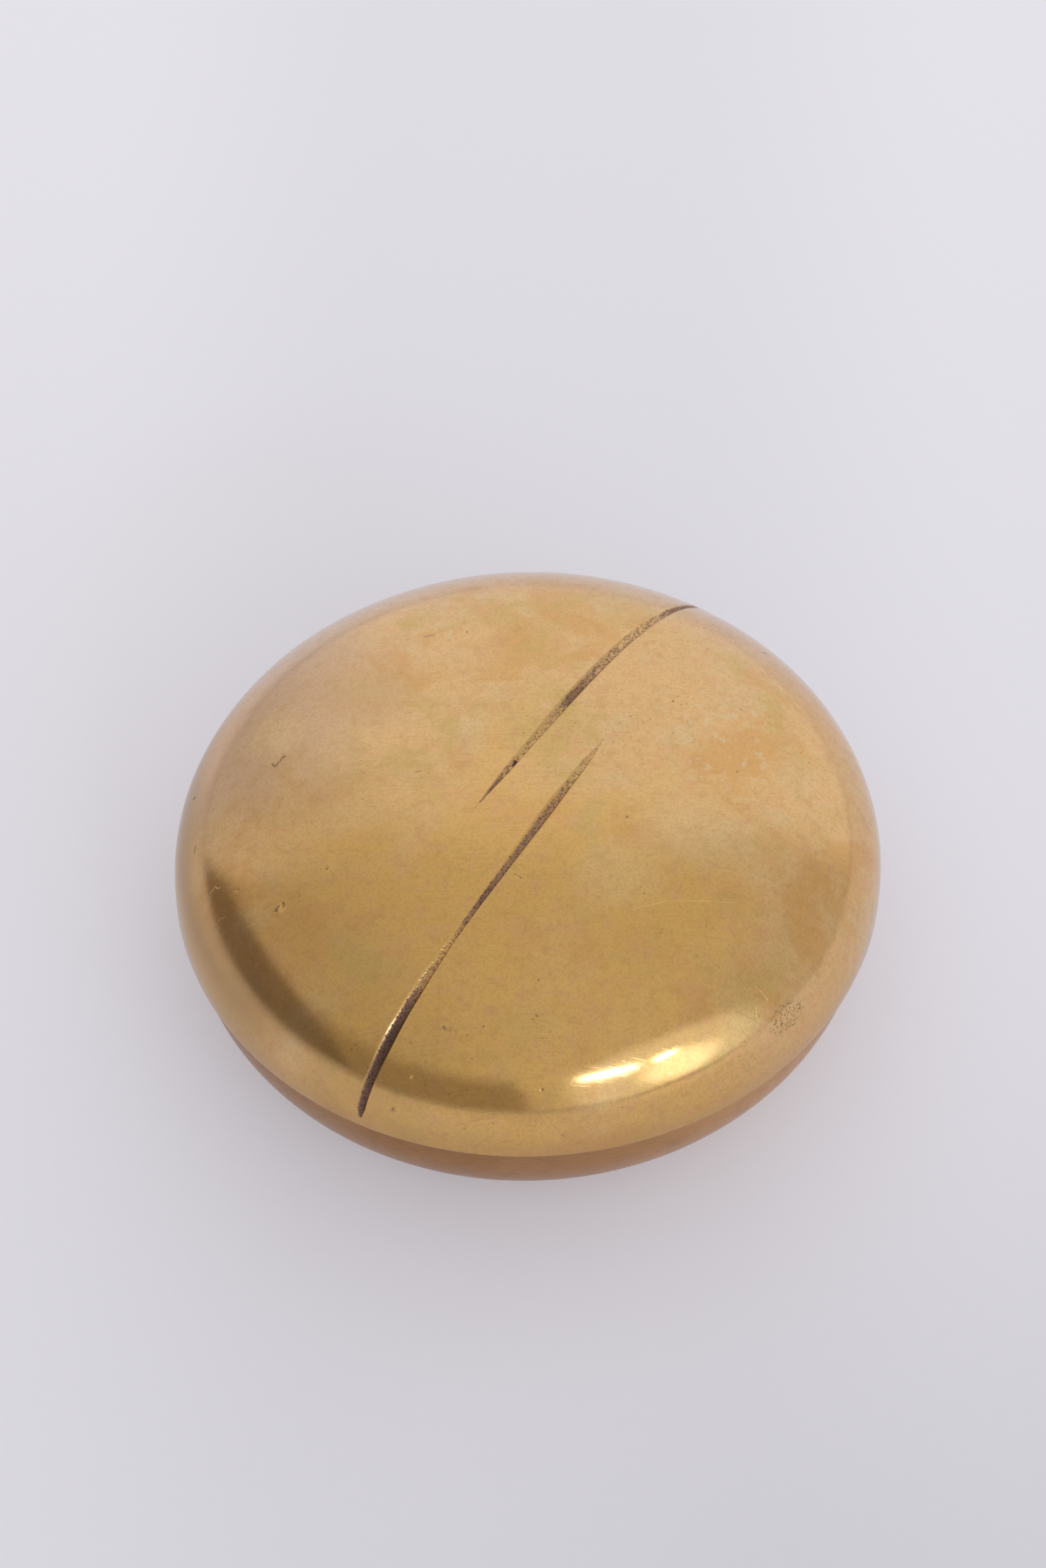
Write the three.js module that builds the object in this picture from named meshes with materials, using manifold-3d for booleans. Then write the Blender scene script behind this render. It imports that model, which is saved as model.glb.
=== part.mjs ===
// Round, pebble-shaped brass box with a lift-off lid.
// Two cast shells meet at a seam just under the widest line. A thin collar soldered in the mouth of the base
// stands up into the lid and keeps it in place. One felt pad lines the dish, another is let into the foot.
// Millimetres, +Z up. The origin is on the table, under the middle of the box.
import * as THREE from 'three';
import { mergeVertices } from 'three/addons/utils/BufferGeometryUtils.js';
import Module from 'manifold-3d';

// Outer form
const LID_RADIUS = 65;
const OVALITY = 0.4; // the plan swells this much along its long diagonal and draws in as much across it
const WIDEST_HEIGHT = 24; // the lid's widest line above the table
const LID_RISE = 26; // from the widest line to the top
const LID_FULLNESS = 3.73; // power of the dome's curve: 2 is an ellipse, more is squarer
const LID_SKIRT = 2; // how far the lid reaches below its widest line
const BASE_SETBACK = 2; // the base wall stands this far inside the lid's widest line
const BASE_FULLNESS = 6.1;
const FOOT_INSET = 13; // from the base wall in to the edge of the flat foot
const EDGE_ROUND = 0.5;

// Walls of the castings
const CROWN_WALL = 3;
const LID_MOUTH_WALL = 4.5;
const FLOOR_WALL = 3;
const FLOOR_INSET = 9; // from the inside of the dish's wall in to the edge of its flat floor

// Fits between the pieces
const SEAM_GAP = 0.3;
const COLLAR_CLEARANCE = 0.3; // running clearance between collar and lid
const JOINT_GAP = 0.3; // solder round the collar, glue under the felt

// Collar
const COLLAR_THICKNESS = 1.2;
const COLLAR_STAND = 4; // above the rim of the base
const COLLAR_DEPTH = 4.1; // below the rim of the base
const COLLAR_LEAD_IN = 0.4;

// Felt
const FELT_THICKNESS = 2;
const FELT_PROUD = 0.5; // how far the pad stands below the foot
const FOOT_LIP = 3; // width of the brass ring round the pad
const LINING_THICKNESS = 1.5;
const LINING_MARGIN = 0.5;

// Grooves: each runs over the dome from a fine tip, past the middle, to a blunt end at the lid's widest line.
// Heading is where the blunt end points, in degrees from +X. Offset is how far the groove passes the middle,
// to the left of its heading, and bow is how far it bends out beyond that. The gentle side is the left of the
// heading, -1, or its right, 1. Width keys are [share of the groove's length, width].
const GROOVE_TIP_REACH = 14.3; // from the middle back to the tip
const GROOVE_END_HEIGHT = 1; // the blunt end stops this far above the widest line
const GROOVE_DEPTH_SHARE = 0.25; // depth as a share of the width
const GROOVE_LEAN = 0.62; // share of the width on the gentle side of the deepest line
const UPPER_GROOVE = {
  heading: 54,
  offset: 2.3,
  bow: 1.8,
  gentleSide: -1,
  widths: [[0, 0.1], [0.15, 1.2], [0.4, 2], [0.6, 2], [0.8, 1.6], [0.97, 1.4], [1, 0.8]],
};
const LOWER_GROOVE = {
  heading: 236.7,
  offset: 7.4,
  bow: 1.9,
  gentleSide: 1,
  widths: [
    [0, 0.1], [0.1, 1.4], [0.22, 1.8], [0.36, 1.5], [0.55, 1.1],
    [0.72, 1.9], [0.82, 2.1], [0.97, 1.7], [1, 0.9],
  ],
};
// Section of the wedge that cuts a groove: across, as a share of that side's width, from the gentle side
// to the steep one, and out from the skin, as a share of the depth
const GROOVE_SECTION = [[-1.7, 1], [-1, 0], [-0.5, -0.7], [0, -1], [0.5, -0.8], [1, 0], [1.6, 1]];

// Fineness of the facets
const ROUND_STEPS = 64;
const LID_STEPS = 18;
const HOLLOW_STEPS = 9;
const BASE_STEPS = 9;
const EDGE_STEPS = 2;
const GROOVE_STEPS = 30;
const POLE_CROWDING = 1.5; // evens out the dome's steps, which would spread near its flat middle
const WELD = 1e-4;

// Heights and radii that follow from the sizes above
const SEAM_HEIGHT = WIDEST_HEIGHT - LID_SKIRT;
const RIM_HEIGHT = SEAM_HEIGHT - SEAM_GAP;
const LEDGE_HEIGHT = RIM_HEIGHT - COLLAR_DEPTH - JOINT_GAP;
const COLLAR_TOP = RIM_HEIGHT + COLLAR_STAND;
const MOUTH_RADIUS = LID_RADIUS - LID_MOUTH_WALL;
const MOUTH_TOP = COLLAR_TOP + COLLAR_CLEARANCE;
const COLLAR_RADIUS = MOUTH_RADIUS - COLLAR_CLEARANCE;
const REBATE_RADIUS = COLLAR_RADIUS + JOINT_GAP;
const DISH_RADIUS = COLLAR_RADIUS - COLLAR_THICKNESS;
const FLOOR_RADIUS = DISH_RADIUS - FLOOR_INSET;
const BASE_RADIUS = LID_RADIUS - BASE_SETBACK;
const FOOT_RADIUS = BASE_RADIUS - FOOT_INSET;
const FELT_RECESS_RADIUS = FOOT_RADIUS - FOOT_LIP;
const FELT_RECESS_TOP = FELT_THICKNESS + JOINT_GAP;
const FLOOR_HEIGHT = FELT_RECESS_TOP + FLOOR_WALL;
const QUARTER_TURN = Math.PI / 2;

const wasm = await Module();
wasm.setup();

// The curve of a dome of the given radius, rise and power. An angle on it is 0 at the middle of the dome
// and a quarter turn at its widest line.
function domeCurve(radius, rise, power) {
  const fall = (r) => Math.sqrt(1 - (r / radius) ** power);
  return {
    height: (r) => rise * fall(r),
    slope: (r) => (-rise * power * (r / radius) ** (power - 1)) / (2 * radius * fall(r)),
    radiusAt: (height) => radius * (1 - (height / rise) ** 2) ** (1 / power),
    angleAt: (r) => Math.asin((r / radius) ** (power / 2)),
    point: (angle) => new THREE.Vector2(radius * Math.sin(angle) ** (2 / power), rise * Math.cos(angle)),
  };
}

// A dish curve of the given radius and power, deep enough to pass through a place further in and lower down.
function dishCurve(radius, power, throughRadius, throughDepth) {
  const depth = throughDepth / Math.sqrt(1 - (throughRadius / radius) ** power);
  return domeCurve(radius, depth, power);
}

// Points of a dome or, upside down, of a dish, from one angle to another.
function curvePoints(curve, widestHeight, up, from, to, steps, crowding = 1) {
  const points = [];
  for (let i = 0; i <= steps; i += 1) {
    const share = from < to ? (i / steps) ** crowding : 1 - (1 - i / steps) ** crowding;
    const point = curve.point(from + (to - from) * share);
    points.push(new THREE.Vector2(point.x, widestHeight + up * point.y));
  }
  return points;
}

function lineThrough(path, points) {
  for (const point of points) {
    path.lineTo(point.x, point.y);
  }
}

// Swells the round plan into the slightly oval one that all the pieces share.
function swell(x, y) {
  return 1 + (OVALITY / LID_RADIUS) * Math.sin(2 * Math.atan2(y, x));
}

// A closed mesh with shared corners, as a solid that can be cut.
function solidOf(geometry) {
  geometry.deleteAttribute('normal');
  geometry.deleteAttribute('uv');
  const welded = mergeVertices(geometry, WELD);
  const corners = welded.index.array;
  const kept = [];
  for (let i = 0; i < corners.length; i += 3) {
    const [a, b, c] = corners.slice(i, i + 3);
    if (a !== b && b !== c && c !== a) {
      kept.push(a, b, c);
    }
  }
  return new wasm.Manifold(new wasm.Mesh({
    numProp: 3,
    vertProperties: new Float32Array(welded.attributes.position.array),
    triVerts: new Uint32Array(kept),
  }));
}

function geometryOf(solid) {
  const mesh = solid.getMesh();
  const geometry = new THREE.BufferGeometry();
  geometry.setAttribute('position', new THREE.BufferAttribute(mesh.vertProperties, 3));
  geometry.setIndex(new THREE.BufferAttribute(mesh.triVerts, 1));
  geometry.computeVertexNormals();
  return geometry;
}

// Turns a profile of (radius, height) points once round the Z axis, on the oval plan.
function turned(profile) {
  const geometry = new THREE.LatheGeometry(profile, ROUND_STEPS);
  geometry.rotateX(QUARTER_TURN);
  const place = geometry.attributes.position;
  for (let i = 0; i < place.count; i += 1) {
    const scale = swell(place.getX(i), place.getY(i));
    place.setX(i, place.getX(i) * scale);
    place.setY(i, place.getY(i) * scale);
  }
  return solidOf(geometry);
}

// Joins rings of equally many points into a closed skin, with a flat cap on each end.
function loft(rings) {
  const count = rings[0].length;
  const last = (rings.length - 1) * count;
  const corners = [];
  for (let i = 0; i < rings.length - 1; i += 1) {
    for (let j = 0; j < count; j += 1) {
      const a = i * count + j;
      const b = i * count + ((j + 1) % count);
      corners.push(a, a + count, b, b, a + count, b + count);
    }
  }
  for (let j = 1; j < count - 1; j += 1) {
    corners.push(0, j, j + 1, last, last + j + 1, last + j);
  }
  const geometry = new THREE.BufferGeometry().setFromPoints(rings.flat());
  geometry.setIndex(corners);
  return solidOf(geometry);
}

// Value of a list of [share, value] keys, eased from each key to the next.
function keyed(keys, share) {
  const next = Math.max(1, keys.findIndex(([at]) => at >= share));
  const [from, low] = keys[next - 1];
  const [to, high] = keys[next];
  return low + (high - low) * THREE.MathUtils.smoothstep(share, from, to);
}

const lidCurve = domeCurve(LID_RADIUS, LID_RISE, LID_FULLNESS);

// A point of the lid's outer skin above a place in plan, and the way that the skin faces there.
function lidSkin(x, y) {
  const r = Math.hypot(x, y);
  const scale = swell(x, y);
  const slope = lidCurve.slope(r);
  return {
    point: new THREE.Vector3(x * scale, y * scale, WIDEST_HEIGHT + lidCurve.height(r)),
    facing: new THREE.Vector3((-slope * x) / r, (-slope * y) / r, 1).normalize(),
  };
}

// The wedge that a groove takes out of the lid: gentle on one side, steep on the other, deepest between them.
function grooveCutter({ heading, offset, bow, gentleSide, widths }) {
  const turn = THREE.MathUtils.degToRad(heading);
  const reach = Math.sqrt(LID_RADIUS ** 2 - offset ** 2);
  const endReach = Math.sqrt(lidCurve.radiusAt(GROOVE_END_HEIGHT) ** 2 - offset ** 2);
  const tipAngle = -Math.asin(GROOVE_TIP_REACH / reach);
  const endAngle = Math.asin(endReach / reach);
  const skinAt = (share) => {
    const along = reach * Math.sin(THREE.MathUtils.lerp(tipAngle, endAngle, share));
    const aside = offset + bow * Math.sin(Math.PI * share);
    return lidSkin(
      along * Math.cos(turn) - aside * Math.sin(turn),
      along * Math.sin(turn) + aside * Math.cos(turn),
    );
  };
  const step = 1 / GROOVE_STEPS;
  const rings = [];
  for (let i = 0; i <= GROOVE_STEPS; i += 1) {
    const share = i * step;
    const { point, facing } = skinAt(share);
    const ahead = skinAt(Math.min(1, share + step)).point;
    const behind = skinAt(Math.max(0, share - step)).point;
    const steepWay = ahead.sub(behind).cross(facing).setLength(-gentleSide);
    const width = keyed(widths, share);
    const gentle = width * GROOVE_LEAN;
    const steep = width - gentle;
    const depth = width * GROOVE_DEPTH_SHARE;
    const ring = GROOVE_SECTION.map(([across, out]) => point.clone()
      .addScaledVector(steepWay, across * (across < 0 ? gentle : steep))
      .addScaledVector(facing, out * depth));
    rings.push(gentleSide < 0 ? ring : ring.reverse());
  }
  return loft(rings);
}

// Lid: a dome with a turned mouth, hollow under its crown, cut by the two grooves.
function lidShell() {
  const top = WIDEST_HEIGHT + LID_RISE;
  const hollowTop = top - CROWN_WALL;
  const hollow = domeCurve(MOUTH_RADIUS, hollowTop - MOUTH_TOP, LID_FULLNESS);
  const hollowPoints = curvePoints(hollow, MOUTH_TOP, 1, 0, QUARTER_TURN, HOLLOW_STEPS, POLE_CROWDING);
  const domePoints = curvePoints(lidCurve, WIDEST_HEIGHT, 1, QUARTER_TURN, 0, LID_STEPS, POLE_CROWDING);
  const edgeRadius = lidCurve.radiusAt(LID_SKIRT - EDGE_ROUND) - EDGE_ROUND;
  const path = new THREE.Path();
  path.moveTo(0, hollowTop);
  lineThrough(path, hollowPoints.slice(1));
  path.lineTo(MOUTH_RADIUS, SEAM_HEIGHT);
  path.lineTo(edgeRadius, SEAM_HEIGHT);
  path.absarc(edgeRadius, SEAM_HEIGHT + EDGE_ROUND, EDGE_ROUND, -QUARTER_TURN, 0, false);
  lineThrough(path, domePoints.slice(0, -1));
  path.lineTo(0, top);
  return turned(path.getPoints(EDGE_STEPS))
    .subtract(grooveCutter(UPPER_GROOVE))
    .subtract(grooveCutter(LOWER_GROOVE));
}

// Base: a dish with a straight rim, a rebate in its mouth for the collar and a recess under it for the felt.
function baseShell() {
  const outer = dishCurve(BASE_RADIUS, BASE_FULLNESS, FOOT_RADIUS, LEDGE_HEIGHT - FELT_PROUD);
  const inner = dishCurve(DISH_RADIUS, BASE_FULLNESS, FLOOR_RADIUS, LEDGE_HEIGHT - FLOOR_HEIGHT);
  const footAngle = outer.angleAt(FOOT_RADIUS);
  const floorAngle = inner.angleAt(FLOOR_RADIUS);
  const edgeHeight = RIM_HEIGHT - EDGE_ROUND;
  const path = new THREE.Path();
  path.moveTo(0, FELT_RECESS_TOP);
  path.lineTo(FELT_RECESS_RADIUS, FELT_RECESS_TOP);
  path.lineTo(FELT_RECESS_RADIUS, FELT_PROUD);
  lineThrough(path, curvePoints(outer, LEDGE_HEIGHT, -1, footAngle, QUARTER_TURN, BASE_STEPS));
  path.lineTo(BASE_RADIUS, edgeHeight);
  path.absarc(BASE_RADIUS - EDGE_ROUND, edgeHeight, EDGE_ROUND, 0, QUARTER_TURN, false);
  path.lineTo(REBATE_RADIUS, RIM_HEIGHT);
  path.lineTo(REBATE_RADIUS, LEDGE_HEIGHT);
  lineThrough(path, curvePoints(inner, LEDGE_HEIGHT, -1, QUARTER_TURN, floorAngle, BASE_STEPS));
  path.lineTo(0, FLOOR_HEIGHT);
  return turned(path.getPoints(EDGE_STEPS));
}

function ringOf(profile) {
  return turned(profile.map(([radius, height]) => new THREE.Vector2(radius, height)));
}

// Collar: a flat strip rolled into a ring, with a lead-in for the lid along its top edge.
function locatingCollar() {
  const bottom = LEDGE_HEIGHT + JOINT_GAP;
  return ringOf([
    [DISH_RADIUS, bottom],
    [COLLAR_RADIUS, bottom],
    [COLLAR_RADIUS, COLLAR_TOP - COLLAR_LEAD_IN],
    [COLLAR_RADIUS - COLLAR_LEAD_IN, COLLAR_TOP],
    [DISH_RADIUS, COLLAR_TOP],
    [DISH_RADIUS, bottom],
  ]);
}

function feltDisc(radius, bottom, thickness) {
  const top = bottom + thickness;
  return ringOf([[0, bottom], [radius, bottom], [radius, top], [0, top]]);
}

const baseFelt = () => feltDisc(FELT_RECESS_RADIUS - JOINT_GAP, 0, FELT_THICKNESS);
const baseLining = () => feltDisc(FLOOR_RADIUS - LINING_MARGIN, FLOOR_HEIGHT + JOINT_GAP, LINING_THICKNESS);

const polishedBrass = new THREE.MeshStandardMaterial({ color: 0xb9925a, metalness: 1, roughness: 0.28 });
const satinBrass = new THREE.MeshStandardMaterial({ color: 0xa37e4f, metalness: 1, roughness: 0.4 });
const stripBrass = new THREE.MeshStandardMaterial({ color: 0xbd9a62, metalness: 1, roughness: 0.35 });
const footFelt = new THREE.MeshStandardMaterial({ color: 0x2a3129, metalness: 0, roughness: 1 });
const liningFelt = new THREE.MeshStandardMaterial({ color: 0x4a3426, metalness: 0, roughness: 1 });

function piece(name, solid, material) {
  const mesh = new THREE.Mesh(geometryOf(solid), material);
  mesh.name = name;
  return mesh;
}

const base = new THREE.Group();
base.add(piece('base_shell', baseShell(), satinBrass));
base.add(piece('locating_collar', locatingCollar(), stripBrass));
base.add(piece('base_felt', baseFelt(), footFelt));
base.add(piece('base_lining', baseLining(), liningFelt));

const lid = new THREE.Group();
lid.add(piece('lid_shell', lidShell(), polishedBrass));

const box = new THREE.Group();
box.add(base, lid);
export default box;
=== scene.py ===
"""The looks of a round brass box with a lift-off lid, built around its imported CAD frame.

Metres, in the frame's axes: +Z up, -Y towards the viewer of the photograph. The castings are turned
again from their own curves as fine meshes, with the grooves, the marks and the slight unevenness
carved into the lid.
"""

import math

import bpy
import numpy as np
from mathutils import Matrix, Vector, geometry, noise


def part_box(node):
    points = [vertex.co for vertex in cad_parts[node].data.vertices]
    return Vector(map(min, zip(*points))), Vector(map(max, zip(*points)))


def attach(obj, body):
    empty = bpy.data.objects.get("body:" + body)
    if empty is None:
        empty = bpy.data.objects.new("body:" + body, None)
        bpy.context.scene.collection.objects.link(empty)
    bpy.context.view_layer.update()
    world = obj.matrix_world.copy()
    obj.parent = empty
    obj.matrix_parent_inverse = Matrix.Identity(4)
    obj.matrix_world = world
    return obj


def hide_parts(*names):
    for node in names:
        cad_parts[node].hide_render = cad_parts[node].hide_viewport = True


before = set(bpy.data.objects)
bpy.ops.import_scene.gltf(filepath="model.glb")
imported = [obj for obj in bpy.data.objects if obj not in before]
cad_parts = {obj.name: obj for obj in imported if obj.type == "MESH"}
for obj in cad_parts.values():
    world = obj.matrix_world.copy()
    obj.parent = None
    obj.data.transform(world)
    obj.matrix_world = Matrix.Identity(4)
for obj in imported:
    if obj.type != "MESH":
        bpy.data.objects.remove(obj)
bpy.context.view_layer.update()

MM = 0.001
SEED = 11

# Places read from the frame
LID_LOW, LID_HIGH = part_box("lid_shell")
BASE_LOW, BASE_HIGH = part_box("base_shell")
COLLAR_LOW, COLLAR_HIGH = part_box("locating_collar")
FOOT_FELT_LOW, FOOT_FELT_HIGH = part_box("base_felt")
LINING_LOW, LINING_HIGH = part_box("base_lining")

# Sizes of the castings that those boxes don't give
OVALITY = 0.4 * MM
LID_FULLNESS = 3.73
LID_SKIRT = 2 * MM
EDGE_ROUND = 0.5 * MM
INNER_ROUND = 0.25 * MM
CROWN_WALL = 3 * MM
BASE_FULLNESS = 6.1
FOOT_INSET = 13 * MM
FLOOR_INSET = 9 * MM
COLLAR_THICKNESS = 1.2 * MM
COLLAR_EDGE_ROUNDS = (0.15 * MM, 0.15 * MM, 0.55 * MM, 0.3 * MM)
FELT_EDGE = 0.35 * MM
CLEARANCE = 0.3 * MM

# Angle in radians that a curve leaves free for the rounded corner at its lower end
CORNER_GAP = 0.02

# Heights and radii that follow
LID_RADIUS = LID_HIGH.x
WIDEST_HEIGHT = LID_LOW.z + LID_SKIRT
MOUTH_RADIUS = COLLAR_HIGH.x + CLEARANCE
MOUTH_TOP = COLLAR_HIGH.z + CLEARANCE
BASE_RADIUS = BASE_HIGH.x
LEDGE_HEIGHT = COLLAR_LOW.z - CLEARANCE
DISH_RADIUS = COLLAR_HIGH.x - COLLAR_THICKNESS
FLOOR_RADIUS = DISH_RADIUS - FLOOR_INSET
FLOOR_HEIGHT = LINING_LOW.z - CLEARANCE
FOOT_RADIUS = BASE_RADIUS - FOOT_INSET
FELT_RECESS_RADIUS = FOOT_FELT_HIGH.x + CLEARANCE
FELT_RECESS_TOP = FOOT_FELT_HIGH.z + CLEARANCE
QUARTER_TURN = math.pi / 2

# Fineness of the meshes
LID_ROUNDS = 384
BASE_ROUNDS = 288
FELT_ROUNDS = 192
FELT_RINGS = 60
CORNER_STEPS = 5
HOLLOW_STEPS = 28
WALL_STEPS = 24
DISH_STEPS = 20
ON_AXIS = 0.01 * MM
SKIN_SPACING = 1.25 * MM
SKIN_SAMPLES = 3000
SKIN_LEAST_ROUNDS = 6
SKIN_MERGE = 1e-6
STRIP_STEP = 0.11 * MM
STRIP_ROWS_PAST = 9
STRIP_MARGIN = 0.5 * MM
STRIP_ACROSS = MM * np.concatenate([
    np.arange(-2.3, -1.3, 0.2),
    np.arange(-1.3, 0.85, 0.1),
    np.arange(0.85, 1.6, 0.15),
])
SLOPE_STEP = 0.04 * MM

# Slow waves that hand polishing leaves: length and height in millimetres
POLISHING_WAVES_MM = ((31, 0.020), (23, 0.014), (17, 0.009), (12, 0.005), (9, 0.003))

# Fibres on the felt's faces: height, how many go to the metre, and the noise's increment, gap and octaves
FIBRE_HEIGHT = 0.06 * MM
FIBRE_SCALE = 900
FIBRE_NOISE = (0.8, 2.1, 3)

# Grooves: heading of the blunt end in degrees from +X, how far the groove passes the middle to the left
# of that heading, how far it bows out beyond that, its gentle side, left of the heading, -1, or right, 1,
# and keys of [share of the length, value]: the width in millimetres, how much of the floor is matted,
# and how dark its dirt is
GROOVE_TIP_REACH = 14.3 * MM
GROOVE_END_HEIGHT = 1 * MM
GROOVE_DEPTH_SHARE = 0.25
GROOVE_LEAN = 0.62
GROOVE_NEAR = 4 * MM
GROOVES = [
    {
        "heading": 54,
        "offset": 2.3 * MM,
        "bow": 1.8 * MM,
        "gentle_side": -1,
        "widths": [[0, 0.1], [0.15, 1.2], [0.4, 2], [0.6, 2], [0.8, 1.6], [0.97, 1.4], [1, 0.8]],
        "matting": [
            [0, 0.6], [0.1, 0.7], [0.25, 0.65], [0.35, 1], [0.5, 0.85], [0.6, 0.8], [0.7, 1], [1, 1],
        ],
        "darkness": [
            [0, 0.65], [0.08, 1], [0.16, 0.65], [0.24, 0.48], [0.3, 0.52], [0.36, 0.88],
            [0.48, 0.68], [0.6, 0.55], [0.66, 0.55], [0.74, 0.85], [1, 0.95],
        ],
    },
    {
        "heading": 236.7,
        "offset": 7.4 * MM,
        "bow": 1.9 * MM,
        "gentle_side": 1,
        "widths": [
            [0, 0.1], [0.1, 1.4], [0.22, 1.8], [0.36, 1.5], [0.55, 1.1],
            [0.72, 1.9], [0.82, 2.1], [0.97, 1.7], [1, 0.9],
        ],
        "matting": [[0, 0.3], [0.1, 0.55], [0.2, 0.9], [0.4, 1], [0.55, 0.9], [0.66, 1], [1, 1]],
        "darkness": [
            [0, 0.3], [0.1, 0.5], [0.18, 0.76], [0.28, 0.84], [0.4, 0.82], [0.47, 0.95],
            [0.53, 0.8], [0.6, 0.5], [0.67, 0.68], [0.74, 0.96], [0.8, 1], [1, 0.95],
        ],
    },
]

# Marks worn into the lid: line in plan, half width and depth, in millimetres, and how dark its dirt is
MARKS_MM = [
    ([(-46.3, 4.6), (-45.8, 3.9), (-45.2, 4.6), (-44.1, 6.1)], 0.22, 0.03, 0.55),
    ([(-46.2, 4.4)], 0.34, 0.04, 0.7),
    ([(-44.2, 6.0)], 0.34, 0.04, 0.7),
    ([(-43.5, -26.7), (-43.0, -26.1)], 0.6, 0.26, 0),
    ([(-44.1, -26.9), (-43.9, -26.4)], 0.4, 0.05, 0.5),
    ([(-51.4, -20.7)], 0.24, 0.14, 0),
    ([(-61.1, 5.0)], 0.7, 0.08, 0.7),
    ([(-60.0, -7.2), (-60.2, -8.1)], 0.32, 0.04, 0.4),
    ([(-56.6, -18.3), (-55.7, -17.9), (-54.9, -18.5)], 0.18, 0.025, 0),
    ([(-55.0, -24.1), (-53.8, -24.3)], 0.2, 0.025, 0),
    ([(-20.1, -57.6)], 0.35, 0.12, 0),
    ([(-23.2, -59.9)], 0.8, 0.04, 0.35),
    ([(6.1, -64.3)], 0.7, 0.03, 0.25),
    ([(-11.4, 34.7)], 0.3, 0.05, 0.65),
    ([(-19.0, 33.7), (-17.7, 34.1)], 0.55, 0.02, 0.25),
    ([(-22.3, 13.6), (-21.5, 13.9)], 0.4, 0.02, 0.15),
    ([(-20.4, -0.4), (-19.4, -0.2)], 0.4, 0.02, 0.15),
    ([(-35.3, -20.7)], 0.28, 0.05, 0.59),
    ([(-31.9, -20.0)], 0.22, 0.04, 0.52),
    ([(-39.9, -25.4)], 0.28, 0.05, 0.59),
    ([(17.7, -11.1)], 0.42, 0.03, 0.45),
    ([(-2.2, -23.6), (-1.2, -24.5)], 0.3, 0.03, 0.33),
    ([(26.3, 16.8)], 0.3, 0.05, 0.65),
    ([(27.9, 16.0)], 0.22, 0.04, 0.52),
    ([(38.6, 16.5)], 0.26, 0.04, 0.59),
    ([(37.5, 1.0)], 0.24, 0.04, 0.52),
    ([(43.7, 36.7), (44.9, 36.4)], 0.25, 0.05, 0.52),
    ([(-14.4, -51.8)], 0.36, 0.06, 0.59),
    ([(-13.3, -51.7)], 0.26, 0.04, 0.39),
    ([(-7.8, -52.0)], 0.3, 0.05, 0.52),
    ([(1.4, -50.7)], 0.36, 0.04, 0.45),
    ([(1.9, -44.7)], 0.28, 0.04, 0.52),
    ([(2.5, -60.7)], 0.38, 0.07, 0.65),
    ([(16.5, -61.3)], 0.26, 0.04, 0.45),
    ([(14.2, -61.9)], 0.24, 0.04, 0.39),
    ([(18.2, -30.8), (24.3, -28.6), (30.5, -28.0), (36.6, -27.4)], 0.14, 0.03, 0),
    ([(38.7, -42.5), (39.9, -41.2), (41.0, -41.7), (42.2, -42.5)], 0.13, 0.022, 0),
    ([(39.9, -44.0), (40.1, -45.6)], 0.13, 0.022, 0),
    ([(-2.8, 1.4), (-2.1, 2.2)], 0.5, 0.1, 0.85),
]


class Curve:
    """A turned curve: r = radius * sin(angle) ** (2 / power), z = widest + rise * cos(angle).

    A dish has a negative rise.
    """

    def __init__(self, radius, rise, power, widest):
        self.radius = radius
        self.rise = rise
        self.power = power
        self.widest = widest

    def place(self, angle):
        return self.radius * np.sin(angle) ** (2 / self.power), self.widest + self.rise * np.cos(angle)

    def facing(self, angle):
        out = abs(self.rise) * np.sin(angle) ** (2 - 2 / self.power)
        up = math.copysign(1, self.rise) * self.radius * 2 / self.power * np.cos(angle)
        length = np.hypot(out, up)
        return out / length, up / length

    def angle(self, r, z):
        return np.arctan2((r / self.radius) ** (self.power / 2), (z - self.widest) / self.rise)

    def stretch(self, start, end, steps, side=1):
        """Rows of (r, z, facing r, facing z) from one angle to another; side -1 faces the hollow."""
        angle = np.linspace(start, end, steps + 1)
        r, z = self.place(angle)
        out, up = self.facing(angle)
        return [list(row) for row in zip(r, z, side * out, side * up)]


def dish_through(radius, power, through_radius, through_height, widest):
    """A dish as deep as it needs to pass through a place further in and lower down."""
    share = math.sqrt(1 - (through_radius / radius) ** power)
    return Curve(radius, (through_height - widest) / share, power, widest)


def rounded(before, at, after, radius):
    """Rows of a rounded corner of a profile that has its solid on the left of the way it runs."""
    at = np.array(at, float)
    back = np.array(before, float) - at
    ahead = np.array(after, float) - at
    back /= np.linalg.norm(back)
    ahead /= np.linalg.norm(ahead)
    half = math.acos(np.clip(back @ ahead, -1, 1)) / 2
    centre = at + (back + ahead) / np.linalg.norm(back + ahead) * radius / math.sin(half)
    left_turn = 1 if back[1] * ahead[0] - back[0] * ahead[1] > 0 else -1
    first = math.atan2(back[0], -back[1])
    turn = left_turn * (math.pi - 2 * half)
    rows = []
    for share in np.linspace(0, 1, CORNER_STEPS + 1):
        angle = first + turn * share
        facing = np.array([math.cos(angle), math.sin(angle)])
        place = centre + left_turn * radius * facing
        rows.append([*place, *facing])
    return rows


def rounded_line(places, radius):
    """Rows of the rounded corners of a line of places, all but its two ends."""
    return [row for three in zip(places, places[1:], places[2:]) for row in rounded(*three, radius)]


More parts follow.
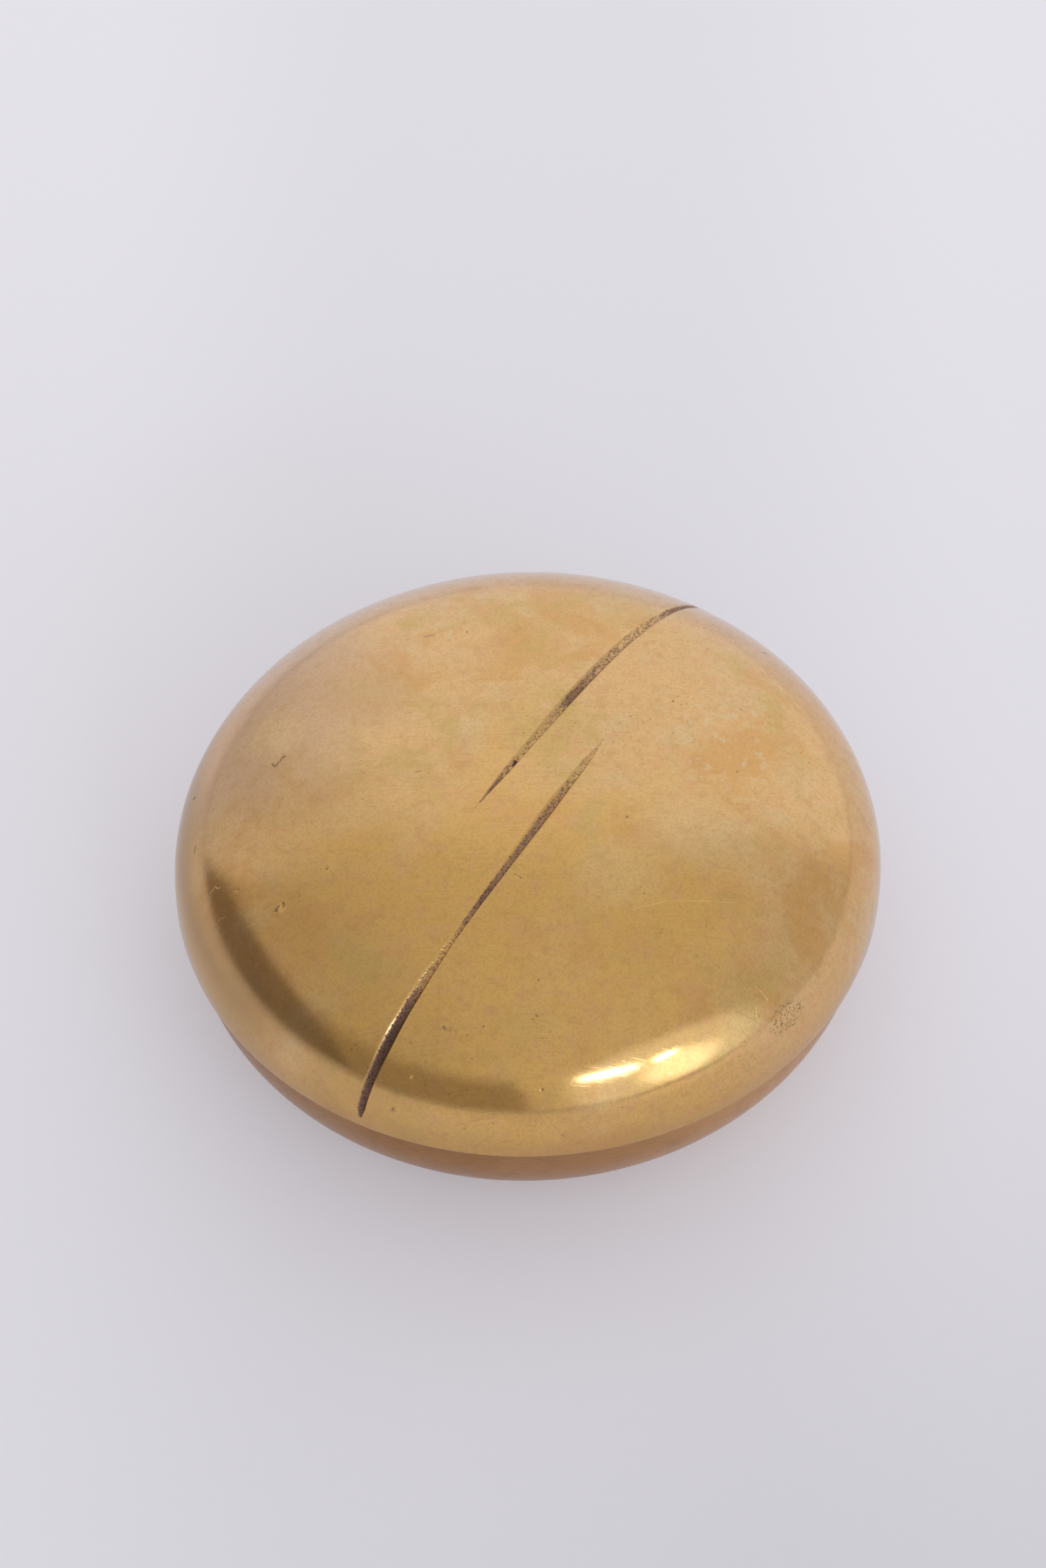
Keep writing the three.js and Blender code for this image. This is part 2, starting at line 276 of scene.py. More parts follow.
def lathe(profile, rounds):
    """Turns rows of (r, z, facing r, facing z) round Z: vertices, normals, faces and each row's vertices."""
    turn = np.linspace(0, 2 * math.pi, rounds, endpoint=False)
    vertices, normals, faces, rings = [], [], [], []
    for r, z, out, up in profile:
        if r < ON_AXIS:
            rings.append([len(vertices)])
            vertices.append((0, 0, z))
            normals.append((0, 0, up))
            continue
        rings.append(list(range(len(vertices), len(vertices) + rounds)))
        for angle in turn:
            vertices.append((r * math.cos(angle), r * math.sin(angle), z))
            normals.append((out * math.cos(angle), out * math.sin(angle), up))
    for low, high in zip(rings, rings[1:]):
        for k in range(rounds):
            after = (k + 1) % rounds
            below = [low[k % len(low)], low[after % len(low)]]
            above = [high[after % len(high)], high[k % len(high)]]
            faces.append(list(dict.fromkeys(below + above)))
    return np.array(vertices), np.array(normals), faces, rings


def unit(rows):
    """Rows of the same directions, of length 1."""
    return rows / np.linalg.norm(rows, axis=1)[:, None]


def smoothstep(low, high, value):
    share = np.clip((value - low) / (high - low), 0, 1)
    return share * share * (3 - 2 * share)


def keyed(keys, share):
    """Value of [share, value] keys at each share, eased from each key to the next."""
    at, value = np.array(keys, float).T
    after = np.clip(np.searchsorted(at, share), 1, len(at) - 1)
    before = after - 1
    return value[before] + (value[after] - value[before]) * smoothstep(at[before], at[after], share)


def swollen(vertices):
    """The round plan as the slightly oval one that all the pieces share."""
    scale = 1 + OVALITY / LID_RADIUS * np.sin(2 * np.arctan2(vertices[:, 1], vertices[:, 0]))
    made = vertices.copy()
    made[:, :2] *= scale[:, None]
    return made


def placed(name, data):
    """An object of that name in the scene."""
    made = bpy.data.objects.new(name, data)
    bpy.context.scene.collection.objects.link(made)
    return made


def piece(name, vertices, normals, faces, materials, material_of_face=None, attributes=None):
    """A smooth-shaded mesh object with the normals of the true surface."""
    mesh = bpy.data.meshes.new(name)
    mesh.from_pydata(swollen(vertices).tolist(), [], faces)
    mesh.polygons.foreach_set("use_smooth", [True] * len(faces))
    for material in materials:
        mesh.materials.append(material)
    if material_of_face is not None:
        mesh.polygons.foreach_set("material_index", material_of_face)
    for key, values in (attributes or {}).items():
        layer = mesh.attributes.new(key, "FLOAT", "POINT")
        layer.data.foreach_set("value", np.asarray(values, np.float32))
    mesh.normals_split_custom_set_from_vertices(normals.tolist())
    return placed(name, mesh)


# The lid's skin

LID_CURVE = Curve(LID_RADIUS, LID_HIGH.z - WIDEST_HEIGHT, LID_FULLNESS, WIDEST_HEIGHT)


def on_lid(angle, turn):
    """Points of the lid's plain outer skin, and the ways that it faces there."""
    r, z = LID_CURVE.place(angle)
    out, up = LID_CURVE.facing(angle)
    points = np.column_stack([r * np.cos(turn), r * np.sin(turn), z])
    facing = np.column_stack([out * np.cos(turn), out * np.sin(turn), up])
    return points, facing


def over_plan(plan):
    """Points of the lid's plain outer skin over places in plan, and the ways that it faces there."""
    angle = np.arcsin((np.hypot(plan[:, 0], plan[:, 1]) / LID_RADIUS) ** (LID_FULLNESS / 2))
    return on_lid(angle, np.arctan2(plan[:, 1], plan[:, 0]))


def drawn_to_lid(points):
    """The lid's angle and turn nearest to points that lie close to its skin."""
    r = np.hypot(points[:, 0], points[:, 1])
    return LID_CURVE.angle(r, points[:, 2]), np.arctan2(points[:, 1], points[:, 0])


class Stipple:
    """Dimples of a matting punch in slanting rows, each a little off its place and of its own size."""

    CELL = 0.36 * MM
    RADIUS = 0.2 * MM
    STRAY = 0.65
    SIZES = (0.6, 1.15)
    SLANT = math.radians(24)
    TABLE = 97
    STRUCK = (-0.05, 0.1)

    def __init__(self):
        source = np.random.default_rng(SEED)
        self.stray = (source.random((self.TABLE, self.TABLE, 2)) - 0.5) * self.STRAY
        self.size = source.uniform(*self.SIZES, (self.TABLE, self.TABLE))
        self.level = source.random((self.TABLE, self.TABLE))

    def depth(self, along, across, cover):
        """Depth of the dimples, up to 1; each is struck only where the cover reaches its own level."""
        u = (along * math.cos(self.SLANT) - across * math.sin(self.SLANT)) / self.CELL
        v = (along * math.sin(self.SLANT) + across * math.cos(self.SLANT)) / self.CELL
        column = np.floor(u).astype(int)
        row = np.floor(v).astype(int)
        deepest = np.zeros(along.shape)
        for i in (-1, 0, 1):
            for j in (-1, 0, 1):
                cell = (column + i) % self.TABLE, (row + j) % self.TABLE
                x = column + i + 0.5 + self.stray[cell][:, 0] - u
                y = row + j + 0.5 + self.stray[cell][:, 1] - v
                gap = np.hypot(x, y) * self.CELL / (self.RADIUS * self.size[cell])
                struck = smoothstep(*self.STRUCK, cover - self.level[cell])
                strength = self.size[cell] / self.SIZES[1] * struck
                deepest = np.maximum(deepest, strength * np.clip(1 - gap**2, 0, 1))
        return deepest


class Groove:
    """A tapered groove over the lid: gentle on one side, steep on the other, matted along its floor."""

    GENTLE_POWER = 1.7
    STEEP_POWER = 3.2
    LIP = 0.18
    FADE = (1.45, 2.0)
    END_FADE = 0.4
    BURR_PLACE = 1.2
    BURR_HEIGHT = 0.07
    STEEP_BURR_WIDTH = 0.16
    GENTLE_BURR_WIDTH = 0.32
    GENTLE_BURR = 0.6
    STIPPLE_DEPTH = 0.09 * MM
    STIPPLE_SHARE = 0.3
    MATTED_EDGES = (0.05, 0.75)
    DIRTY_DIMPLES = (0.08, 0.8)
    HAIRLINE = 0.25
    HAIRLINE_EDGES = (0.9, 0.99)
    GROUND = 0.8
    GROUND_POWER = 3
    LINE_SAMPLES = 4000
    POINTS_AT_ONCE = 4000

    def __init__(self, heading, offset, bow, gentle_side, widths, matting, darkness):
        self.width_keys = widths
        self.matting_keys = matting
        self.darkness_keys = darkness
        self.stipple = Stipple()
        fine = self.line(np.linspace(0, 1, self.LINE_SAMPLES), math.radians(heading), offset, bow)
        run = np.concatenate([[0], np.cumsum(np.linalg.norm(np.diff(fine, axis=0), axis=1))])
        self.length = run[-1]
        steps = int(self.length / STRIP_STEP)
        self.share = np.linspace(0, 1, steps + 1)
        reach = self.share * self.length
        self.place = np.column_stack([np.interp(reach, run, fine[:, k]) for k in range(3)])
        self.ahead = unit(np.gradient(self.place, axis=0))
        facing = on_lid(*drawn_to_lid(self.place))[1]
        self.steep_way = unit(-gentle_side * np.cross(self.ahead, facing))

    def line(self, share, heading, offset, bow):
        """The groove's deepest line, as it runs over the plain skin."""
        reach = math.sqrt(LID_RADIUS**2 - offset**2)
        end_radius = LID_RADIUS * (1 - (GROOVE_END_HEIGHT / LID_CURVE.rise) ** 2) ** (1 / LID_FULLNESS)
        tip = -math.asin(GROOVE_TIP_REACH / reach)
        end = math.asin(math.sqrt(end_radius**2 - offset**2) / reach)
        along = reach * np.sin(tip + (end - tip) * share)
        aside = offset + bow * np.sin(math.pi * share)
        x = along * math.cos(heading) - aside * math.sin(heading)
        y = along * math.sin(heading) + aside * math.cos(heading)
        return over_plan(np.column_stack([x, y]))[0]

    def strip(self):
        """Points of a fine grid along the groove, a little past both of its ends."""
        past = np.arange(1, STRIP_ROWS_PAST + 1)[:, None] * STRIP_STEP
        before = self.place[0] - past[::-1] * self.ahead[0]
        after = self.place[-1] + past * self.ahead[-1]
        place = np.vstack([before, self.place, after])
        side = np.pad(self.steep_way, ((STRIP_ROWS_PAST, STRIP_ROWS_PAST), (0, 0)), "edge")
        return (place[:, None, :] + STRIP_ACROSS[None, :, None] * side[:, None, :]).reshape(-1, 3)

    def find(self, points):
        """How far points are from the groove; notes which are near, and the nearest of its places."""
        gap = np.full(len(points), np.inf)
        self.nearest = np.zeros(len(points), int)
        for first in range(0, len(points), self.POINTS_AT_ONCE):
            some = slice(first, first + self.POINTS_AT_ONCE)
            apart = np.linalg.norm(points[some, None, :] - self.place[None, :, :], axis=2)
            self.nearest[some] = apart.argmin(1)
            gap[some] = apart.min(1)
        self.near = gap < GROOVE_NEAR
        return gap

    def section(self, points):
        """Where the near points lie: share of the length, place across, width, hollow and burr."""
        k = self.nearest[self.near]
        offset = points[self.near] - self.place[k]
        across = (offset * self.steep_way[k]).sum(1)
        share = self.share[k] + (offset * self.ahead[k]).sum(1) / self.length
        width = keyed(self.width_keys, share) * MM
        part = across / (np.where(across < 0, GROOVE_LEAN, 1 - GROOVE_LEAN) * width)
        body = 1 - np.abs(part) ** np.where(across < 0, self.GENTLE_POWER, self.STEEP_POWER)
        hollow = (body + np.sqrt(body**2 + self.LIP**2)) / 2
        past = np.maximum(-share, share - 1) * self.length
        hollow *= 1 - smoothstep(*self.FADE, np.abs(part))
        hollow *= 1 - smoothstep(0, self.END_FADE * width, past)
        steep_burr = np.exp(-((part - self.BURR_PLACE) / self.STEEP_BURR_WIDTH) ** 2)
        gentle_burr = np.exp(-((part + self.BURR_PLACE) / self.GENTLE_BURR_WIDTH) ** 2)
        burr = self.BURR_HEIGHT * np.maximum(steep_burr, self.GENTLE_BURR * gentle_burr)
        return share, across, width, hollow, burr

    def matted(self, share, hollow):
        """How much of the matting's dimples are struck at each point."""
        return keyed(self.matting_keys, share) * smoothstep(*self.MATTED_EDGES, hollow)

    def cut(self, points):
        """Depth of the groove at each point, with its burr and its matting."""
        share, across, width, hollow, burr = self.section(points)
        plain = GROOVE_DEPTH_SHARE * width
        dimples = self.stipple.depth(share * self.length, across, self.matted(share, hollow))
        dimple_depth = np.minimum(self.STIPPLE_DEPTH, self.STIPPLE_SHARE * plain)
        depth = np.zeros(len(points))
        depth[self.near] = plain * (hollow - burr) + dimple_depth * dimples
        return depth

    def darkness(self, points):
        """How dark the dirt is: in the dimples, along the deepest line and thinly over the floor."""
        share, across, _, hollow, _ = self.section(points)
        most = keyed(self.darkness_keys, share)
        matted = self.matted(share, hollow)
        dimples = self.stipple.depth(share * self.length, across, matted)
        dimples = smoothstep(*self.DIRTY_DIMPLES, dimples)
        deepest = self.HAIRLINE * smoothstep(*self.HAIRLINE_EDGES, hollow)
        ground = self.GROUND * most**self.GROUND_POWER * matted
        dark = np.zeros(len(points))
        dark[self.near] = most * np.max([dimples, deepest, ground], axis=0)
        return dark


class Mark:
    """A pit, a ding or a scratch: a soft hollow along a short line over the lid."""

    REACH = 2.2
    MARGIN = 0.3
    FINENESS = 3
    LENGTHWAYS = 1.5
    SHARPNESS = 2
    DIRTY = (0.1, 0.9)
    WANDER = 0.5
    WANDER_LENGTH = 4
    LEAST_SQUARE = 1e-12

    def __init__(self, line, half_width, depth, dark):
        self.line, self.facing = over_plan(np.array(line, float) * MM)
        self.half_width = half_width * MM
        self.depth = depth * MM
        self.dark = dark

    def stretches(self):
        """The line's straight stretches, of which a pit has one without length."""
        return list(zip(self.line, self.line[1:])) or [(self.line[0], self.line[0])]

    def strip(self):
        """Points of a fine grid over each stretch and just round it."""
        step = self.half_width / self.FINENESS
        reach = self.REACH * self.half_width
        made = []
        for start, end in self.stretches():
            length = np.linalg.norm(end - start)
            ahead = end - start if length else np.cross(self.facing[0], (0, 1, 0))
            ahead = ahead / np.linalg.norm(ahead)
            side = np.cross(self.facing[0], ahead)
            along = np.arange(-reach, length + reach, self.LENGTHWAYS * step)
            across = np.arange(-reach, reach, step)
            grid = start + along[:, None, None] * ahead + across[None, :, None] * side
            made.append(grid.reshape(-1, 3))
        return np.vstack(made)

    def apart(self, points):
        """How far points are from the line."""
        least = np.full(len(points), np.inf)
        for start, end in self.stretches():
            way = end - start
            share = np.clip((points - start) @ way / max(way @ way, self.LEAST_SQUARE), 0, 1)
            least = np.minimum(least, np.linalg.norm(points - start - share[:, None] * way, axis=1))
        return least

    def hollow(self, points):
        """Depth from 0 to 1, with edges that wander a little."""
        waves = np.sin(2 * math.pi * points[:, [1, 2, 0]] / (self.WANDER_LENGTH * self.half_width))
        waves -= (waves @ self.facing[0])[:, None] * self.facing[0]
        wandered = points + self.WANDER * self.half_width * waves
        return np.exp(-self.SHARPNESS * (self.apart(wandered) / self.half_width) ** 2)

    def darkness(self, points):
        """How dark the mark's dirt is at each point."""
        return self.dark * smoothstep(*self.DIRTY, self.hollow(points))


def unevenness(points):
    """Depth of the slow waves of polishing, all of them below the plain skin."""
    source = np.random.default_rng(SEED)
    total = np.zeros(len(points))
    for wavelength, height in POLISHING_WAVES_MM:
        way = source.normal(size=3)
        way *= 2 * math.pi / (wavelength * MM) / np.linalg.norm(way)
        total += height * MM * (1 + np.sin(points @ way + source.uniform(0, 2 * math.pi)))
    return total


def skin_rings(last_angle):
    """Angles and turns of an even net over the lid, its last ring first, and the net's run-out table."""
    table = last_angle * np.linspace(0, 1, SKIN_SAMPLES) ** 2
    r, z = LID_CURVE.place(table)
    run = np.concatenate([[0], np.cumsum(np.hypot(np.diff(r), np.diff(z)))])
    rings = int(run[-1] / SKIN_SPACING)
    angles, turns = [], []
    for ring in range(rings, 0, -1):
        out = run[-1] * ring / rings
        angle = np.interp(out, run, table)
        around = 2 * math.pi * LID_CURVE.place(angle)[0] / SKIN_SPACING
        count = LID_ROUNDS if ring == rings else max(SKIN_LEAST_ROUNDS, int(around))
        first = 0 if ring == rings else 0.5 * (ring % 2) / count
        turns.append(2 * math.pi * (np.arange(count) / count + first))
        angles.append(np.full(count, angle))
    return np.concatenate(angles), np.concatenate(turns), table, run


def skin_net(last_angle, grooves, marks):
    """Triangles over the lid from its middle to its last ring, fine along the grooves and over the marks."""
    angle, turn, table, run = skin_rings(last_angle)
    points = on_lid(angle, turn)[0]
    strip_reach = max(-STRIP_ACROSS[0], STRIP_ACROSS[-1]) + STRIP_MARGIN
    keep = np.ones(len(points), bool)
    for groove in grooves:
        keep &= groove.find(points) > strip_reach
    for mark in marks:
        keep &= mark.apart(points) > (mark.REACH + mark.MARGIN) * mark.half_width
    keep[:LID_ROUNDS] = True
    added_angle, added_turn = drawn_to_lid(np.vstack([cut.strip() for cut in [*grooves, *marks]]))
    inside = np.interp(added_angle, table, run) < run[-1] - 0.5 * SKIN_SPACING
    angle = np.concatenate([angle[keep], added_angle[inside]])
    turn = np.concatenate([turn[keep], added_turn[inside]])
    out = np.interp(angle, table, run) / MM
    flat = [Vector((x, y)) for x, y in zip(out * np.cos(turn), out * np.sin(turn))]
    found = geometry.delaunay_2d_cdt(flat, [], [], 0, SKIN_MERGE)
    source = np.array([origin[0] for origin in found[3]])
    faces = [[int(source[i]) for i in face] for face in found[2]]
    return angle, turn, faces


def carved_skin(angle, turn, grooves, marks):
    """The lid's skin with everything cut or worn into it: points, normals and how dark each is."""
    points, facing = on_lid(angle, turn)
    for groove in grooves:
        groove.find(points)

    def depth(places):
        total = unevenness(places)
        for groove in grooves:
            total += groove.cut(places)
        for mark in marks:
            total += mark.depth * mark.hollow(places)
        return total

    level = np.column_stack([-np.sin(turn), np.cos(turn), np.zeros(len(turn))])
    down = np.cross(level, facing)
    tilt = np.zeros_like(points)
    for way in (level, down):
        rise = depth(points + SLOPE_STEP * way) - depth(points - SLOPE_STEP * way)
        tilt += (rise / (2 * SLOPE_STEP))[:, None] * way
    normals = unit(facing + tilt)
    dirt = [cut.darkness(points) for cut in [*grooves, *marks]]
    return points - depth(points)[:, None] * facing, normals, np.max(dirt, axis=0)


def lid_profile(last_angle):
    """The lid's hollow, mouth and lower edge, from the middle of the hollow out to the skin's last ring."""
    hollow = Curve(MOUTH_RADIUS, LID_HIGH.z - CROWN_WALL - MOUTH_TOP, LID_FULLNESS, MOUTH_TOP)
    inside = hollow.stretch(0, QUARTER_TURN, HOLLOW_STEPS, side=-1)
    edge_r, edge_z = LID_CURVE.place(last_angle)
    mouth = rounded((MOUTH_RADIUS, MOUTH_TOP), (MOUTH_RADIUS, LID_LOW.z), (edge_r, LID_LOW.z), INNER_ROUND)
    edge = rounded((MOUTH_RADIUS, LID_LOW.z), (edge_r, LID_LOW.z), (edge_r, edge_z + MM), EDGE_ROUND)
    return inside, mouth, edge


def build_lid(polished, cast):
    last_angle = LID_CURVE.angle(LID_RADIUS, LID_LOW.z + EDGE_ROUND)
    grooves = [Groove(**facts) for facts in GROOVES]
    marks = [Mark(*facts) for facts in MARKS_MM]
    inside, mouth, edge = lid_profile(last_angle)
    last_row = [*LID_CURVE.place(last_angle), *LID_CURVE.facing(last_angle)]
    vertices, normals, faces, rings = lathe([*inside, *mouth, *edge[:-1], last_row], LID_ROUNDS)
    angle, turn, net = skin_net(last_angle, grooves, marks)
    points, skin_normals, dark = carved_skin(angle, turn, grooves, marks)
    index = np.concatenate([rings[-1], len(vertices) + np.arange(len(points) - LID_ROUNDS)])
    skin_faces = [[int(index[i]) for i in face] for face in net]
    cast_faces = LID_ROUNDS * len(inside)
    return piece(
        "lid",
        np.vstack([vertices, points[LID_ROUNDS:]]),
        np.vstack([normals, skin_normals[LID_ROUNDS:]]),
        faces + skin_faces,
        [polished, cast],
        [1] * cast_faces + [0] * (len(faces) - cast_faces + len(skin_faces)),
        {"groove_dark": np.concatenate([np.zeros(len(vertices)), dark[LID_ROUNDS:]])},
    )


def build_base(satin, cast):
    outer = dish_through(BASE_RADIUS, BASE_FULLNESS, FOOT_RADIUS, BASE_LOW.z, LEDGE_HEIGHT)
    inner = dish_through(DISH_RADIUS, BASE_FULLNESS, FLOOR_RADIUS, FLOOR_HEIGHT, LEDGE_HEIGHT)
    wall_end = outer.angle(FOOT_RADIUS, BASE_LOW.z) + CORNER_GAP
    wall = outer.stretch(wall_end, QUARTER_TURN, WALL_STEPS)
    dish_end = inner.angle(FLOOR_RADIUS, FLOOR_HEIGHT) + CORNER_GAP
    dish = inner.stretch(QUARTER_TURN, dish_end, DISH_STEPS, side=-1)
    recess = (FELT_RECESS_RADIUS, FELT_RECESS_TOP)
    lip = (FELT_RECESS_RADIUS, BASE_LOW.z)
    foot = (FOOT_RADIUS, BASE_LOW.z)
    rim = (BASE_RADIUS, BASE_HIGH.z)
    rebate = (COLLAR_HIGH.x + CLEARANCE, BASE_HIGH.z)
    rebate_floor = (COLLAR_HIGH.x + CLEARANCE, LEDGE_HEIGHT)
    ledge = (DISH_RADIUS, LEDGE_HEIGHT)
    profile = [
        [0, FELT_RECESS_TOP, 0, -1],
        *rounded_line([(0, FELT_RECESS_TOP), recess, lip, foot, wall[0][:2]], INNER_ROUND),
        *wall,
        *rounded((BASE_RADIUS, LEDGE_HEIGHT), rim, rebate, EDGE_ROUND),
        *rounded_line([rim, rebate, rebate_floor, ledge, dish[1][:2]], INNER_ROUND),
        *dish[1:],
        *rounded(dish[-1][:2], (FLOOR_RADIUS, FLOOR_HEIGHT), (0, FLOOR_HEIGHT), INNER_ROUND),
        [0, FLOOR_HEIGHT, 0, 1],
    ]
    vertices, normals, faces, _ = lathe(profile, BASE_ROUNDS)
    corners_before_cast = 5
    outside = 1 + corners_before_cast * (CORNER_STEPS + 1) + len(wall)
    is_cast = [0] * (BASE_ROUNDS * (outside - 1)) + [1] * (BASE_ROUNDS * (len(profile) - outside))
    return piece("base", vertices, normals, faces, [satin, cast], is_cast)


def build_collar(brass):
    bottom, top = COLLAR_LOW.z, COLLAR_HIGH.z
    corners = [(DISH_RADIUS, bottom), (COLLAR_HIGH.x, bottom), (COLLAR_HIGH.x, top), (DISH_RADIUS, top)]
    profile = []
    for k, edge_round in enumerate(COLLAR_EDGE_ROUNDS):
        profile += rounded(corners[k - 1], corners[k], corners[(k + 1) % len(corners)], edge_round)
    vertices, normals, faces, rings = lathe([*profile, profile[0]], BASE_ROUNDS)
    stitch = dict(zip(rings[-1], rings[0]))
    faces = [[stitch.get(i, i) for i in face] for face in faces]
    keep = len(vertices) - BASE_ROUNDS
    return piece("collar", vertices[:keep], normals[:keep], faces, [brass])


def build_felt(name, low, high, material, seed):
    """A disc cut from felt: soft edges and a slightly uneven, fibrous face."""
    radii = np.linspace(0, high.x - FELT_EDGE, FELT_RINGS)[1:-1]
    bottom = [[0, low.z, 0, -1]] + [[r, low.z, 0, -1] for r in radii]
    top = [[r, high.z, 0, 1] for r in radii[::-1]] + [[0, high.z, 0, 1]]
    side = rounded((0, low.z), (high.x, low.z), (high.x, high.z), FELT_EDGE)
    side += rounded((high.x, low.z), (high.x, high.z), (0, high.z), FELT_EDGE)
    vertices, normals, faces, _ = lathe([*bottom, *side, *top], FELT_ROUNDS)
    for k, place in enumerate(vertices):
        fibre = noise.fractal(Vector(place) * FIBRE_SCALE + Vector((seed, 0, 0)), *FIBRE_NOISE)
        vertices[k] -= normals[k] * FIBRE_HEIGHT * (1 + fibre)
    return piece(name, vertices, normals, faces, [material])


# Materials

def add_node(tree, kind, inputs, **settings):
    """A node with its settings, and its inputs set to a value or linked to a socket."""
    made = tree.nodes.new(kind)
    for key, value in settings.items():
        setattr(made, key, value)
    for key, value in inputs.items():
        if isinstance(value, bpy.types.NodeSocket):
            tree.links.new(value, made.inputs[key])
        else:
            made.inputs[key].default_value = value
    return made


class Steps:
    """The few texture steps that looks are made of, in one tree of nodes and from one kind of place."""

    def __init__(self, tree, place):
        self.tree = tree
        self.place = self.step("TexCoord", {}, place)
        self.x, self.y, self.z = add_node(tree, "ShaderNodeSeparateXYZ", {0: self.place}).outputs

    def step(self, kind, inputs, output=0, **settings):
        return add_node(self.tree, "ShaderNode" + kind, inputs, **settings).outputs[output]

    def mapped(self, turn=(0, 0, 0), stretch=(1, 1, 1), shift=(0, 0, 0)):
        inputs = {"Vector": self.place, "Rotation": turn, "Scale": stretch, "Location": shift}
        return self.step("Mapping", inputs)

    def noise(self, scale, detail, roughness, distortion=0.0, **mapping):
        place = self.mapped(**mapping) if mapping else self.place
        inputs = {"Vector": place, "Scale": scale, "Detail": detail, "Roughness": roughness}
        inputs["Distortion"] = distortion
        return self.step("TexNoise", inputs)

    def spots(self, scale):
        inputs = {"Vector": self.place, "Scale": scale}
        return self.step("TexVoronoi", inputs, "Distance")

    def ramp(self, value, low, high, to_low=0.0, to_high=1.0):
        inputs = {"Value": value, "From Min": low, "From Max": high, "To Min": to_low, "To Max": to_high}
        return self.step("MapRange", inputs, interpolation_type="SMOOTHSTEP")

    def math(self, operation, a, b):
        return self.step("Math", {0: a, 1: b}, operation=operation)

    def times(self, a, b):
        return self.math("MULTIPLY", a, b)

    def mix(self, share, a, b):
        return self.step("Mix", {0: share, 6: a, 7: b}, 2, data_type="RGBA")

    def attribute(self, name):
        return self.step("Attribute", {}, "Fac", attribute_name=name)

    def apart(self, place):
        return self.step("VectorMath", {0: self.place, 1: place}, "Value", operation="DISTANCE")

    def reach(self, centre, turn, halves):
        """How far places are from a centre, in shares of the half sizes of an oval turned about Z."""
        turned = (0, 0, math.radians(turn))
        inputs = {"Vector": self.place, "Location": centre, "Rotation": turned, "Scale": halves}
        place = self.step("Mapping", inputs, vector_type="TEXTURE")
        return self.step("VectorMath", {0: place}, "Value", operation="LENGTH")

    def bump(self, height, strength, distance, before=None):
        inputs = {"Height": height, "Strength": strength, "Distance": distance}
        if before is not None:
            inputs["Normal"] = before
        return self.step("Bump", inputs)


class Looks(Steps):
    """A material with one Principled shader."""

    def __init__(self, name, **constants):
        self.material = bpy.data.materials.new(name)
        self.material.use_nodes = True
        super().__init__(self.material.node_tree, "Object")
        self.shader = self.tree.nodes["Principled BSDF"]
        for key, value in constants.items():
            self.shader.inputs[key.replace("_", " ")].default_value = value

    def set(self, **sockets):
        for key, value in sockets.items():
            self.tree.links.new(value, self.shader.inputs[key.replace("_", " ")])


def colour(red, green, blue):
    return (red, green, blue, 1)


def hairlines(looks, turn, length, breadth, low, high, seed):
    """Fine scratches in one direction: noise drawn out along it, of which only the crests show."""
    turned = (0, 0, math.radians(turn))
    stretch = (1 / length, 1 / breadth, 1 / length)
    crests = looks.noise(1, 1.0, 0.4, 0.15, turn=turned, stretch=stretch, shift=(seed, 0, 0))
    return looks.ramp(crests, low, high)


LID_BROWN = colour(0.54, 0.310, 0.110)

# Clouds of lighter and darker colour over the lid: middle, turn about Z, half sizes, share and shade
CLOUDS = [
    ((-0.029, 0.020, 0.049), 20, (0.011, 0.009, 0.02), 0.45, colour(0.62, 0.385, 0.165)),
    ((-0.013, 0.027, 0.0495), 10, (0.009, 0.006, 0.02), 0.5, colour(0.86, 0.590, 0.310)),
    ((0.016, -0.023, 0.0495), 0, (0.009, 0.008, 0.02), 0.7, colour(0.89, 0.600, 0.260)),
    ((-0.030, -0.009, 0.049), 18, (0.011, 0.005, 0.02), 0.6, colour(0.88, 0.590, 0.270)),
    ((0.029, -0.014, 0.049), -30, (0.011, 0.008, 0.02), 0.5, colour(0.84, 0.600, 0.310)),
    ((-0.046, 0.012, 0.046), 0, (0.006, 0.007, 0.02), 0.6, colour(0.90, 0.630, 0.320)),
    # Painted dark reflection low on the left rim
    ((-0.0635, 0, 0.036), 0, (0.006, 0.016, 0.007), 0.45, colour(0.46, 0.310, 0.180)),
]


